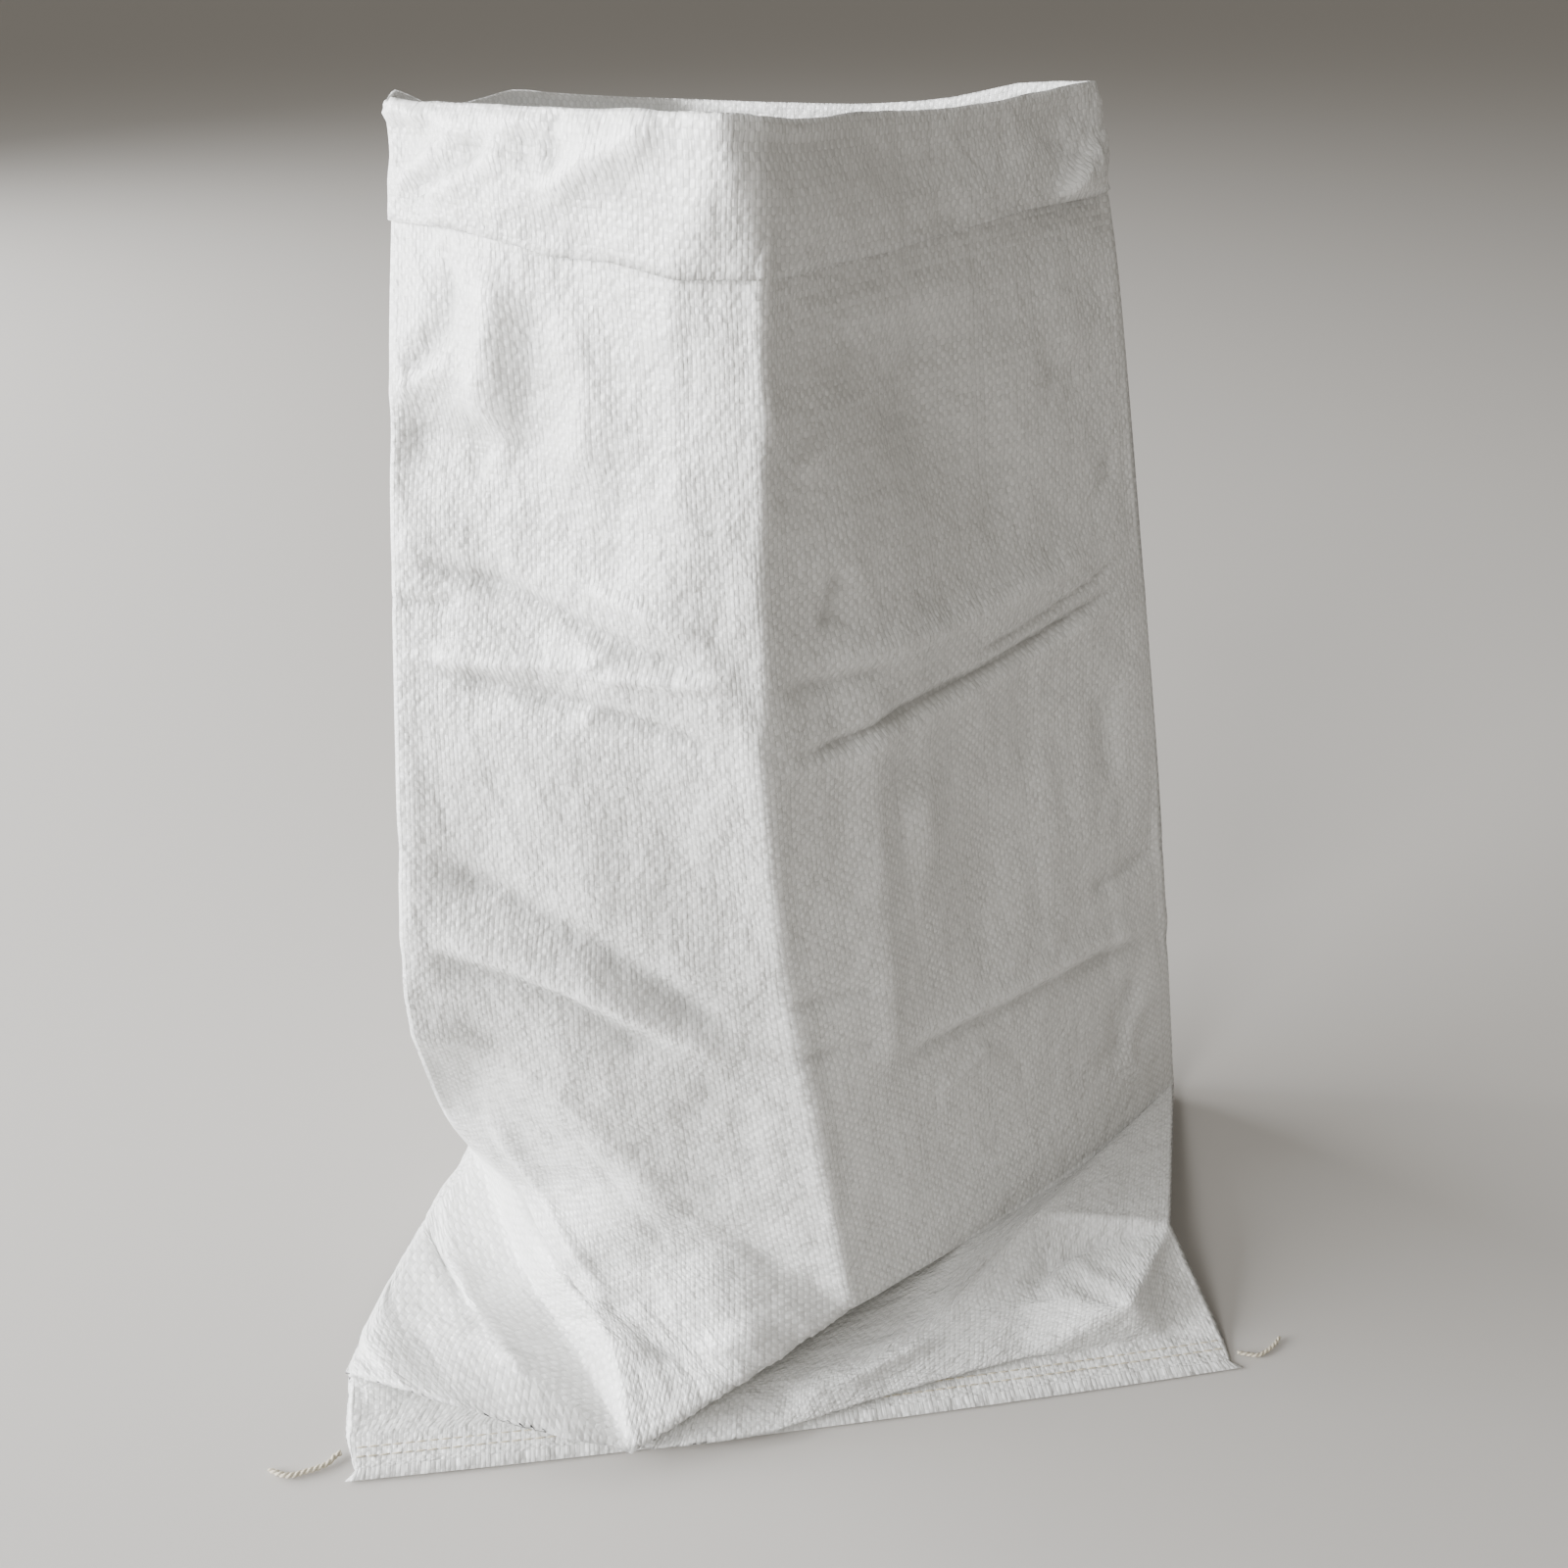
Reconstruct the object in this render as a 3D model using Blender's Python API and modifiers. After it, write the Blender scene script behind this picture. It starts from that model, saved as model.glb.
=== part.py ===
# Open-mouth sack of white woven polypropylene, standing like a box on its own folded bottom.
# The mouth is rolled outward into a cuff and the sewn end lies on the floor in front.
#
# Run with: blender --background --python part.py
#
# +Z is up, +X runs along the sewn hem and -Y is the side that the hem lies on.
# The origin is on the floor under the middle of the sack's box. The places below are measured from
# a point near it, on the floor inside the sack, and moved by BOX_MIDDLE as they are built.
# The cloth is a tube. A point on it is named by its place on the flat sack: "across" runs round the
# tube from the left side fold, over the front panel and back over the rear panel, and "down" runs
# from the cut edge of the mouth to the fold of the hem. Both are in millimetres.

import bmesh
import bpy
from mathutils import Vector
from mathutils.geometry import delaunay_2d_cdt

MM = 0.001

# Driving dimensions, millimetres
FLAT_WIDTH = 550.0
FLAT_LENGTH = 1060.0
HEM_BAND = 28.0
CLOTH = 1.0
# Heights of the middle of the cloth where the two panels lie on the floor
REAR_LAYER = 0.5
FRONT_LAYER = 2.3
# The two ends of the hem's fold, x, y
HEM_LEFT = (-297.0, -225.0)
HEM_RIGHT = (251.0, -221.0)
# The sewing: thread radius, its gap to the cloth, each row's distance in from the hem's fold
STITCH_RADIUS = 0.55
STITCH_GAP = 0.3
STITCH_ROWS = {"stitch_row_front": 14.0, "stitch_row_back": 20.0}
STITCH_ENDS = 3.0
TAIL_RADIUS = {"thread_tail_left": 1.7, "thread_tail_right": 1.3}
# Length of a straight piece of a thread tail, in thread radii
TAIL_STEP = 2.5
# From the point that places are measured from to the middle of the sack's box, on the floor
BOX_MIDDLE = Vector((-2.8, 12.3, 0.0))

# The mouth's fold line, with the point half way down the wall under each of its points:
# across, x, y, z, wall point
RIM = [
    (0, -199, 30, 704, "left_mid"),
    (58, -161, -13, 702, "left_front_mid"),
    (115, -122, -55, 701, "left_face_mid"),
    (190, -70, -108, 704, "front_mid"),
    (236, -39, -122, 705, "front_mid"),
    (375, 44, -19, 703, "right_face_mid"),
    (550, 176, 101, 702, "right_mid"),
    (613, 125, 139, 694, "right_rear_mid"),
    (677, 74, 177, 686, "back_right_mid"),
    (750, 14, 218, 685, "rear_right_mid"),
    (823, -47, 258, 684, "back_mid"),
    (962, -141, 155, 697, "back_left_mid"),
    (1031, -170, 93, 700, "left_rear_mid"),
]

# The cuff and the wall behind it: down, out from the wall, below the rim
CUFF_ROWS = [(0, 6.0, 61.0), (52, 4.5, 9.0), (62, 2.2, 0.0), (72, 0.0, 10.0), (137, 0.0, 75.0)]

# Creases and corners of the cloth below the rim: across, down, x, y, z
CLOTH_POINTS = {
    # Walls, half way down
    "left_mid": (0, 366, -229, -53, 412),
    "left_front_mid": (58, 365, -181, -74, 412),
    "left_face_mid": (115, 363, -133, -95, 412),
    "front_mid": (228, 357, -38, -131, 412),
    "right_face_mid": (375, 358, 84, -42, 412),
    "right_mid": (550, 362, 236, 68, 412),
    "right_rear_mid": (613, 354, 167, 87, 412),
    "back_right_mid": (677, 346, 98, 106, 412),
    "rear_right_mid": (750, 353, 35, 122, 412),
    "back_mid": (823, 360, -29, 138, 412),
    "back_left_mid": (962, 368, -128, 46, 412),
    "left_rear_mid": (1031, 367, -178, -3, 412),
    # Walls, low down
    "left_low": (0, 522, -241, -96, 263),
    "left_face_low": (115, 500, -136, -122, 272),
    "front_low": (228, 484, -28, -135, 284),
    "right_face_low": (380, 510, 108, -49, 268),
    "right_low": (550, 524, 263, 49, 250),
    "back_right_low": (677, 515, 118, 62, 250),
    "back_low": (823, 537, -19, 68, 250),
    "back_left_low": (962, 539, -130, -10, 250),
    # The left face's lower edge, from the side fold down to the toe
    "knee_fold": (0, 558, -240, -104, 228),
    "knee": (55, 570, -189, -107, 215),
    "knee_edge_high": (90, 630, -154, -122, 160),
    "knee_edge_mid": (130, 670, -110, -134, 120),
    "knee_edge_low": (172, 705, -64, -145, 85),
    "toe": (228, 759, 10, -173, 38),
    # The right face's lower edge
    "right_edge_low": (328, 765, 98, -121, 26),
    "right_edge_mid": (447, 766, 204, -55, 18),
    "right_foot": (550, 767, 298, 20, 12),
    # Left side fold on the floor
    "notch": (0, 810, -230, -2, 24),
    "left_floor": (0, 885, -269, -44, 9),
    "left_corner": (0, 990, -304, -160, 12),
    "left_corner_tuck": (0, 1005, -303, -152, 7),
    "left_band": (0, 1032, -300, -196, 3),
    # Left flap and the sloping facet beside it
    "left_ridge_high": (60, 802, -171, -133, 52),
    "left_ridge_low": (88, 860, -142, -176, 38),
    "flap_ridge_high": (42, 892, -223, -137, 25),
    "flap_ridge_low": (74, 915, -193, -181, 24),
    "flap_edge_left": (30, 970, -258, -180, 18),
    "flap_edge_right": (75, 940, -197, -209, 17),
    "beak": (120, 900, -131, -235, 11),
    "beak_edge": (178, 825, -64, -210, 28),
    # The tuck under the flap, the beak and the toe
    "tuck_left": (35, 1008, -250, -158, 7),
    "tuck_mid": (80, 990, -190, -174, 7),
    "tuck_beak": (128, 960, -122, -184, 7),
    "tuck_edge": (195, 880, -50, -160, 7),
    "tuck_toe": (240, 805, 24, -128, 7),
    # The floor flap under the right face
    "swell_left": (262, 960, -13, -176, 17),
    "swell_mid": (325, 930, 60, -168, 25),
    "swell_right": (400, 935, 132, -160, 27),
    "pinch_ridge": (430, 870, 150, -109, 27),
    "pinch_crease": (430, 905, 148, -143, 19),
    "pinch_tip": (480, 965, 186, -182, 20),
    "pinch": (550, 950, 237, -122, 20),
    "right_band": (550, 1032, 249, -196, 3),
    # Rear wall and the rear panel on the floor
    "back_left_foot": (962, 680, -132, 4, 110),
    "back_foot": (825, 697, 0, 66, 90),
    "floor_rear_right": (610, 778, 230, 44, REAR_LAYER),
    "floor_rear_right_mid": (677, 768, 150, 54, REAR_LAYER),
    "floor_rear": (825, 790, 10, 60, REAR_LAYER),
    "floor_rear_left_mid": (962, 795, -120, 44, REAR_LAYER),
    "floor_rear_left": (1035, 806, -190, 26, REAR_LAYER),
    "floor_right": (640, 925, 150, -85, REAR_LAYER),
    "floor_mid": (825, 925, -10, -85, REAR_LAYER),
    "floor_left": (1000, 925, -190, -85, REAR_LAYER),
}

# Creases that the cloth's facets must follow
CREASES = [
    ("left_mid", "left_low", "knee_fold", "notch", "left_floor", "left_corner",
     "left_corner_tuck", "left_band"),
    ("front_mid", "front_low", "toe"),
    ("right_mid", "right_low", "right_foot", "pinch", "right_band"),
    ("back_mid", "back_low", "back_foot", "floor_rear"),
    ("knee_fold", "knee", "knee_edge_high", "knee_edge_mid", "knee_edge_low", "toe"),
    ("toe", "right_edge_low", "right_edge_mid", "right_foot"),
    ("knee", "left_ridge_high", "left_ridge_low", "beak"),
    ("flap_ridge_high", "flap_ridge_low", "beak"),
    ("left_floor", "flap_ridge_high"),
    ("left_corner", "flap_edge_left", "flap_edge_right", "beak", "beak_edge", "toe"),
    ("left_corner_tuck", "tuck_left", "tuck_mid", "tuck_beak", "tuck_edge", "tuck_toe",
     "right_edge_low"),
    ("pinch_ridge", "pinch"),
    ("pinch_crease", "pinch"),
    ("pinch_tip", "pinch"),
    ("swell_left", "swell_mid", "swell_right", "pinch_tip"),
    ("right_foot", "floor_rear_right", "floor_rear_right_mid", "floor_rear",
     "floor_rear_left_mid", "floor_rear_left"),
]

# Stations across the hem, shared by both panels
HEM_STATIONS = [35, 90, 160, 240, 310, 380, 465]

# Routes of the loose thread ends, from the hem outward: x, y, z
TAIL_ROUTES = {
    "thread_tail_left": [(-301.2, -207, 2.8), (-304.5, -208.5, 2.3), (-309, -213, 2.0), (-320, -216, 1.9),
                         (-331, -217, 1.9), (-342, -212, 1.9)],
    "thread_tail_right": [(252.0, -211, 2.4), (257, -212.5, 1.9), (264, -214, 1.5), (271, -212, 1.5),
                          (278, -208, 1.5), (284, -203, 1.5)],
}

WHITE_CLOTH = (0.80, 0.80, 0.78, 1.0)
SEWING_THREAD = (0.72, 0.66, 0.52, 1.0)


def placed(place):
    """A place in millimetres as a point in metres from the origin."""
    return (Vector(place) - BOX_MIDDLE) * MM


def clear_scene():
    for old in list(bpy.data.objects):
        bpy.data.objects.remove(old, do_unlink=True)


def make_material(name, colour, roughness):
    material = bpy.data.materials.new(name)
    material.use_nodes = True
    shader = material.node_tree.nodes["Principled BSDF"]
    shader.inputs["Base Color"].default_value = colour
    shader.inputs["Roughness"].default_value = roughness
    shader.inputs["Metallic"].default_value = 0.0
    return material


def add_object(name, data, material, collection):
    piece = bpy.data.objects.new(name, data)
    data.materials.append(material)
    collection.objects.link(piece)
    return piece


def rim_normals():
    """Unit vectors that point straight out from the wall at each rim point."""
    outward = []
    count = len(RIM)
    for i in range(count):
        before, after = RIM[i - 1], RIM[(i + 1) % count]
        along = Vector((after[1] - before[1], after[2] - before[2]))
        outward.append(Vector((along.y, -along.x)).normalized())
    return outward


def wall_leans():
    """How far the wall moves sideways for each millimetre down, at each rim point."""
    leans = []
    for _, x, y, z, under in RIM:
        _, _, wall_x, wall_y, wall_z = CLOTH_POINTS[under]
        leans.append(Vector((wall_x - x, wall_y - y)) / (z - wall_z))
    return leans


def cuff_points():
    """The cuff and the first rows of the wall, which follow the wall's lean down from the rim."""
    points = {}
    for row, (down, out, drop) in enumerate(CUFF_ROWS):
        for i, (place, normal, lean) in enumerate(zip(RIM, rim_normals(), wall_leans())):
            across, x, y, z = place[:4]
            side = Vector((x, y)) + normal * out + lean * drop
            points["rim_%d_%d" % (row, i)] = (across, down, side.x, side.y, z - drop)
    return points


def cuff_creases():
    rows = []
    for row in range(len(CUFF_ROWS)):
        rows.append(["rim_%d_%d" % (row, i) for i in range(len(RIM))])
    return rows


def hem_line(across):
    """A point on the hem's fold, for a station across the front panel."""
    share = across / FLAT_WIDTH
    x = HEM_LEFT[0] + (HEM_RIGHT[0] - HEM_LEFT[0]) * share
    y = HEM_LEFT[1] + (HEM_RIGHT[1] - HEM_LEFT[1]) * share
    return x, y


def hem_points():
    """The flat hem band and its fold, on both panels."""
    points = {}
    middle = (REAR_LAYER + FRONT_LAYER) / 2
    points["hem_left"] = (0, FLAT_LENGTH) + hem_line(0) + (middle,)
    points["hem_right"] = (FLAT_WIDTH, FLAT_LENGTH) + hem_line(FLAT_WIDTH) + (middle,)
    for across in HEM_STATIONS:
        x, y = hem_line(across)
        for side, station, z in (("front", across, FRONT_LAYER),
                                 ("rear", 2 * FLAT_WIDTH - across, REAR_LAYER)):
            points["hem_%s_%d" % (side, across)] = (station, FLAT_LENGTH, x, y, z)
            points["band_%s_%d" % (side, across)] = (
                station, FLAT_LENGTH - HEM_BAND, x, y + HEM_BAND, z)
    return points


def band_creases():
    front = ["band_front_%d" % a for a in HEM_STATIONS]
    rear = ["band_rear_%d" % a for a in HEM_STATIONS]
    return [["left_band"] + front + ["right_band"], ["right_band"] + rear[::-1]]


def sack_surface():
    """The cloth as one open surface: facets between the creases, closed round and at the hem."""
    named = {}
    named.update(cuff_points())
    named.update(CLOTH_POINTS)
    named.update(hem_points())
    names = list(named)
    # The left side fold is both ends of the flat tube
    seam = [name for name in names if named[name][0] == 0]
    flat = [Vector(named[name][:2]) for name in names]
    flat += [Vector((2 * FLAT_WIDTH, named[name][1])) for name in seam]
    index = {name: i for i, name in enumerate(names)}
    edges = []
    for chain in CREASES + cuff_creases() + band_creases():
        edges += [(index[a], index[b]) for a, b in zip(chain, chain[1:])]
    result = delaunay_2d_cdt(flat, edges, [], 0, 0.001)
    faces, origins = result[2], result[3]
    bm = bmesh.new()
    verts = [bm.verts.new(placed(named[name][2:])) for name in names]
    owner = []
    for original in origins:
        i = original[0]
        owner.append(i if i < len(names) else index[seam[i - len(names)]])
    for face in faces:
        corners = [verts[owner[i]] for i in face]
        bm.faces.new(corners[::-1])
    front = [index["hem_left"]] + [index["hem_front_%d" % a] for a in HEM_STATIONS] + [index["hem_right"]]
    rear = [index["hem_left"]] + [index["hem_rear_%d" % a] for a in HEM_STATIONS] + [index["hem_right"]]
    for i in range(len(front) - 1):
        ring = [front[i], front[i + 1], rear[i + 1], rear[i]]
        corners = [verts[k] for n, k in enumerate(ring) if k not in ring[:n]]
        bm.faces.new(corners[::-1])
    return bm


def build_sack(material, collection):
    bm = sack_surface()
    bmesh.ops.recalc_face_normals(bm, faces=bm.faces)
    mesh = bpy.data.meshes.new("sack_body")
    bm.to_mesh(mesh)
    bm.free()
    sack = add_object("sack_body", mesh, material, collection)
    shell = sack.modifiers.new("cloth", "SOLIDIFY")
    shell.thickness = CLOTH * MM
    shell.offset = 0.0
    shell.use_quality_normals = True
    return sack


def add_thread(name, route, radius, material, collection):
    """A round thread along the route, a filled curve."""
    curve = bpy.data.curves.new(name, "CURVE")
    curve.dimensions = "3D"
    curve.bevel_depth = radius * MM
    curve.bevel_resolution = 2
    curve.use_fill_caps = True
    spline = curve.splines.new("POLY")
    spline.points.add(len(route) - 1)
    for point, place in zip(spline.points, route):
        point.co = (*placed(place), 1.0)
    return add_object(name, curve, material, collection)


def smooth_route(route, step):
    """Points every step or so along a smooth curve through the route."""
    points = [Vector(p) for p in route]
    points = [2 * points[0] - points[1]] + points + [2 * points[-1] - points[-2]]
    out = []
    for before, start, end, after in zip(points, points[1:], points[2:], points[3:]):
        pieces = max(1, round((end - start).length / step))
        for i in range(pieces):
            t = i / pieces
            out.append(0.5 * ((2 * start) + (end - before) * t
                              + (2 * before - 5 * start + 4 * end - after) * t * t
                              + (3 * start - before - 3 * end + after) * t ** 3))
    out.append(points[-2])
    return out


def build_threads(material, collection):
    height = FRONT_LAYER + CLOTH / 2 + STITCH_GAP + STITCH_RADIUS
    for name, inset in STITCH_ROWS.items():
        ends = []
        for across in (STITCH_ENDS, FLAT_WIDTH - STITCH_ENDS):
            x, y = hem_line(across)
            ends.append((x, y + inset, height))
        add_thread(name, ends, STITCH_RADIUS, material, collection)
    for name, route in TAIL_ROUTES.items():
        radius = TAIL_RADIUS[name]
        add_thread(name, smooth_route(route, TAIL_STEP * radius), radius, material, collection)


def main():
    clear_scene()
    parts = bpy.data.collections.new("woven_sack")
    bpy.context.scene.collection.children.link(parts)
    cloth = make_material("woven_cloth", WHITE_CLOTH, 0.45)
    thread = make_material("sewing_thread", SEWING_THREAD, 0.8)
    build_sack(cloth, parts)
    build_threads(thread, parts)


main()
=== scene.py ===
# Open-mouth woven polypropylene sack: the cloth with its cuff, folds and creases, the turned hem
# with its two rows of chain stitch, and the two loose ends of the sewing thread.
#
# The cloth is a tube. A point on it is named by its place on the flat sack, in millimetres: "across"
# runs round the tube from the left side fold, over the front panel and back over the rear panel, and
# "down" runs from the cut edge of the mouth to the fold of the hem.

import math

import bpy
import numpy as np
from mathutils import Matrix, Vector
from mathutils.geometry import delaunay_2d_cdt


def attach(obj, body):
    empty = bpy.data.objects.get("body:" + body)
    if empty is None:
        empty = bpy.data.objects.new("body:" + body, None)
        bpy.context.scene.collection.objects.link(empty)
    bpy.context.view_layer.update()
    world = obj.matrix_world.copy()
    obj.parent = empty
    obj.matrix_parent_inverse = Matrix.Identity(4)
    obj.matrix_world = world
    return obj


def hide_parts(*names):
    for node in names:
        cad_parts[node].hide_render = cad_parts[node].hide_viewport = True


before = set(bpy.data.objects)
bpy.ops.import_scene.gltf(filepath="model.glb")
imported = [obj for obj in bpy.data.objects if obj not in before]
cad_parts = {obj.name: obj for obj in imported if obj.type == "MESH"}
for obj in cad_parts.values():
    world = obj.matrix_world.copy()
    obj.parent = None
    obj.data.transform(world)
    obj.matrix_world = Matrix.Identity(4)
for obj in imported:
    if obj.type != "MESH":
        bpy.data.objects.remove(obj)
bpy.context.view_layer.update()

MM = 0.001
FLAT_WIDTH = 550.0
ROUND = 2 * FLAT_WIDTH
FLAT_LENGTH = 1060.0
CLOTH = 0.5
# Down to the end of the cuff's outside, and to the mouth's fold line
CUFF_END = 54.0
RIM_DOWN = 62.0
# Clearance over the floor, and how much higher the front layer lies at least
FLOOR_GAP = 0.3
LAYER_GAP = 1.0
# Heights of the two layers at the hem, and how much the front one rises by the stitches
REAR_LAYER = 0.4
FRONT_LAYER = 2.0
BAND_RISE = 0.8
HEM_BAND = 28.0
HEM_LEFT = (-297.0, -225.0)
HEM_RIGHT = (251.0, -221.0)
HEM_BOW = 4.2
# From the point that places are measured from to the middle of the sack's box, on the floor
BOX_MIDDLE = Vector((-2.8, 12.3, 0.0))


def placed(place):
    """A place in millimetres as a point in metres in the part's frame."""
    return (Vector(place) - BOX_MIDDLE) * MM


# Camera

PICTURE = 1600
FOCAL_PIXELS = 1400.0
EYE = Vector((-106.9, -732.3, 756.0))
LOOK_DOWN = math.radians(30.7)
LOOK_RIGHT = math.radians(7.53)
SENSOR_WIDTH = 36.0
CLIP_START = 0.01


def add_camera():
    data = bpy.data.cameras.new("camera")
    data.sensor_width = SENSOR_WIDTH
    data.lens = FOCAL_PIXELS / PICTURE * SENSOR_WIDTH
    data.clip_start = CLIP_START
    camera = bpy.data.objects.new("camera", data)
    camera.location = placed(EYE)
    camera.rotation_euler = (math.pi / 2 - LOOK_DOWN, 0.0, -LOOK_RIGHT)
    bpy.context.scene.collection.objects.link(camera)
    bpy.context.scene.camera = camera


add_camera()


# Materials


class Nodes:
    """Short calls for building a material's node tree."""

    def __init__(self, name):
        self.material = bpy.data.materials.new(name)
        self.material.use_nodes = True
        self.tree = self.material.node_tree
        self.shader = self.tree.nodes["Principled BSDF"]

    def node(self, kind, **settings):
        node = self.tree.nodes.new(kind)
        for key, value in settings.items():
            setattr(node, key, value)
        return node

    def plug(self, value, socket):
        if isinstance(value, (int, float, tuple)):
            socket.default_value = value
        else:
            self.tree.links.new(value, socket)

    def feed(self, node, *values):
        for place, value in enumerate(values):
            self.plug(value, node.inputs[place])
        return node.outputs[0]

    def math(self, operation, a, b=0.0):
        return self.feed(self.node("ShaderNodeMath", operation=operation), a, b)

    def plus(self, a, b):
        return self.math("ADD", a, b)

    def minus(self, a, b):
        return self.math("SUBTRACT", a, b)

    def times(self, a, b):
        return self.math("MULTIPLY", a, b)

    def blend(self, share, a, b, kind="FLOAT"):
        node = self.node("ShaderNodeMix", data_type=kind)
        self.plug(share, node.inputs["Factor"])
        self.plug(a, node.inputs["A"])
        self.plug(b, node.inputs["B"])
        return node.outputs["Result"]

    def mix(self, share, a, b):
        return self.blend(share, a, b, "RGBA")

    def spread(self, value, low, high, new_low, new_high):
        node = self.node("ShaderNodeMapRange", clamp=True)
        return self.feed(node, value, low, high, new_low, new_high)

    def vector(self, x, y, z=0.0):
        return self.feed(self.node("ShaderNodeCombineXYZ"), x, y, z)

    def noise(self, vector, scale, detail=2.0, roughness=0.5):
        node = self.node("ShaderNodeTexNoise")
        self.plug(vector, node.inputs["Vector"])
        node.inputs["Scale"].default_value = scale
        node.inputs["Detail"].default_value = detail
        node.inputs["Roughness"].default_value = roughness
        return node.outputs["Fac"]

    def white(self, vector):
        return self.feed(self.node("ShaderNodeTexWhiteNoise", noise_dimensions="2D"), vector)

    def bump(self, height, strength, distance):
        node = self.node("ShaderNodeBump")
        node.inputs["Strength"].default_value = strength
        node.inputs["Distance"].default_value = distance
        self.plug(height, node.inputs["Height"])
        return node


TAPE_ACROSS = 2.9
TAPE_DOWN = 3.2
TAPE_DULL = (0.62, 0.62, 0.605, 1.0)
TAPE_CLEAR = (0.95, 0.95, 0.94, 1.0)
# Painted shade for the creases' valleys, and strain whitening with painted highlight for their ridges
VALLEY_PAINTED_SHADE = (0.36, 0.36, 0.35, 1.0)
RIDGE_STRAIN_WHITE_AND_HIGHLIGHT = (0.98, 0.98, 0.97, 1.0)
TAPE_GAP = (0.36, 0.36, 0.34, 1.0)
THREAD_DARK = (0.42, 0.36, 0.26, 1.0)
THREAD_LIGHT = (0.80, 0.75, 0.62, 1.0)


def woven_material():
    """Flat polypropylene tapes in plain weave, laid out by the cloth's own flat coordinates."""
    n = Nodes("woven_cloth")
    flat = n.node("ShaderNodeUVMap", uv_map="flat")
    split = n.node("ShaderNodeSeparateXYZ")
    n.plug(flat.outputs[0], split.inputs[0])
    across, down = split.outputs[0], split.outputs[1]
    # The map holds metres on the flat cloth. Cells count tapes, and the rest is the place in a tape
    a = n.times(across, 1.0 / (MM * TAPE_ACROSS))
    d = n.times(down, 1.0 / (MM * TAPE_DOWN))
    a_cell, d_cell = n.math("FLOOR", a), n.math("FLOOR", d)
    a_in, d_in = n.math("FRACT", a), n.math("FRACT", d)
    # 0 where the tape that runs down lies on top and 1 where the one that runs across does
    parity = n.math("MODULO", n.math("ABSOLUTE", n.plus(a_cell, d_cell)), 2.0)
    parity = n.math("GREATER_THAN", parity, 0.5)

    def hump(share):
        """0 at both ends of the tape's visible stretch and 1 in its middle."""
        return n.math("SINE", n.times(share, math.pi))

    def off_middle(share, low, high):
        """0 near the middle of a tape, 1 near its edges."""
        return n.spread(n.math("ABSOLUTE", n.minus(share, 0.5)), low, high, 0.0, 1.0)

    def lean(share, seed):
        """Each crossing's own small lean along one direction."""
        steep = n.minus(n.white(n.vector(n.plus(a_cell, seed), d_cell)), 0.5)
        return n.times(steep, n.minus(share, 0.5))

    down_tape = n.times(n.blend(0.45, hump(d_in), 1.0), n.minus(1.0, off_middle(a_in, 0.24, 0.5)))
    across_tape = n.times(n.blend(0.45, hump(a_in), 1.0), 0.55)
    weave = n.blend(parity, down_tape, across_tape)
    metres = n.vector(across, down)
    # Each tape has its own tone at random, and the tapes that run down are painted lighter: a painted sheen
    # for the glossy tapes, whose reflection depends on their direction
    shade_down = n.white(n.vector(a_cell, 3.0))
    shade_across = n.white(n.vector(7.0, d_cell))
    shade = n.blend(parity, shade_down, shade_across)
    cloud = n.noise(metres, 9.0, 4.0, 0.6)
    streaks = n.noise(n.vector(n.times(across, 90.0), n.times(down, 5.0)), 1.0)
    light = n.plus(n.times(shade, 0.22), n.times(cloud, 0.16))
    light = n.plus(light, n.times(streaks, 0.20))
    # Painted sheen: the tapes that run down are made lighter than those that run across
    light = n.plus(light, n.times(n.minus(1.0, parity), 0.36))
    colour = n.mix(light, TAPE_DULL, TAPE_CLEAR)
    # Painted light: the creases' valleys are painted darker as shade, and sharp ridges are whitened by the
    # strain and painted lighter as highlight
    crease = n.node("ShaderNodeAttribute", attribute_name="crease").outputs["Fac"]
    colour = n.mix(n.spread(crease, -0.10, -1.0, 0.0, 0.47), colour, VALLEY_PAINTED_SHADE)
    colour = n.mix(n.spread(crease, 0.12, 1.0, 0.0, 0.65), colour, RIDGE_STRAIN_WHITE_AND_HIGHLIGHT)
    gap = n.times(off_middle(a_in, 0.34, 0.47), off_middle(d_in, 0.34, 0.47))
    colour = n.mix(n.times(gap, 0.45), colour, TAPE_GAP)
    n.plug(colour, n.shader.inputs["Base Color"])
    n.plug(n.plus(n.blend(shade, 0.26, 0.38), n.times(parity, 0.14)), n.shader.inputs["Roughness"])
    n.shader.inputs["Specular IOR Level"].default_value = 0.55
    uneven_top = n.plus(lean(a_in, 0.0), lean(d_in, 57.0))
    tapes = n.bump(n.plus(weave, n.times(uneven_top, 0.9)), 0.65, 0.0004)
    fine = n.times(n.noise(metres, 150.0), 0.35)
    crumple = n.bump(n.plus(n.noise(metres, 50.0, 3.0, 0.6), fine), 0.7, 0.005)
    n.plug(tapes.outputs[0], crumple.inputs["Normal"])
    n.plug(crumple.outputs[0], n.shader.inputs["Normal"])
    return n.material


def thread_material():
    n = Nodes("sewing_thread")
    place = n.node("ShaderNodeTexCoord")
    shade = n.noise(place.outputs["Object"], 900.0, 3.0, 0.6)
    n.plug(n.mix(shade, THREAD_DARK, THREAD_LIGHT), n.shader.inputs["Base Color"])
    n.shader.inputs["Roughness"].default_value = 0.85
    n.shader.inputs["Specular IOR Level"].default_value = 0.3
    fibres = n.bump(n.noise(place.outputs["Object"], 2600.0, 2.0, 0.6), 0.6, 0.0003)
    n.plug(fibres.outputs[0], n.shader.inputs["Normal"])
    return n.material


CLOTH_MATERIAL = woven_material()
THREAD_MATERIAL = thread_material()


def add_mesh(name, verts, faces, material, smooth=True):
    mesh = bpy.data.meshes.new(name)
    mesh.from_pydata(verts, [], faces)
    mesh.materials.append(material)
    mesh.polygons.foreach_set("use_smooth", [smooth] * len(mesh.polygons))
    piece = bpy.data.objects.new(name, mesh)
    bpy.context.scene.collection.objects.link(piece)
    return piece


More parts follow.
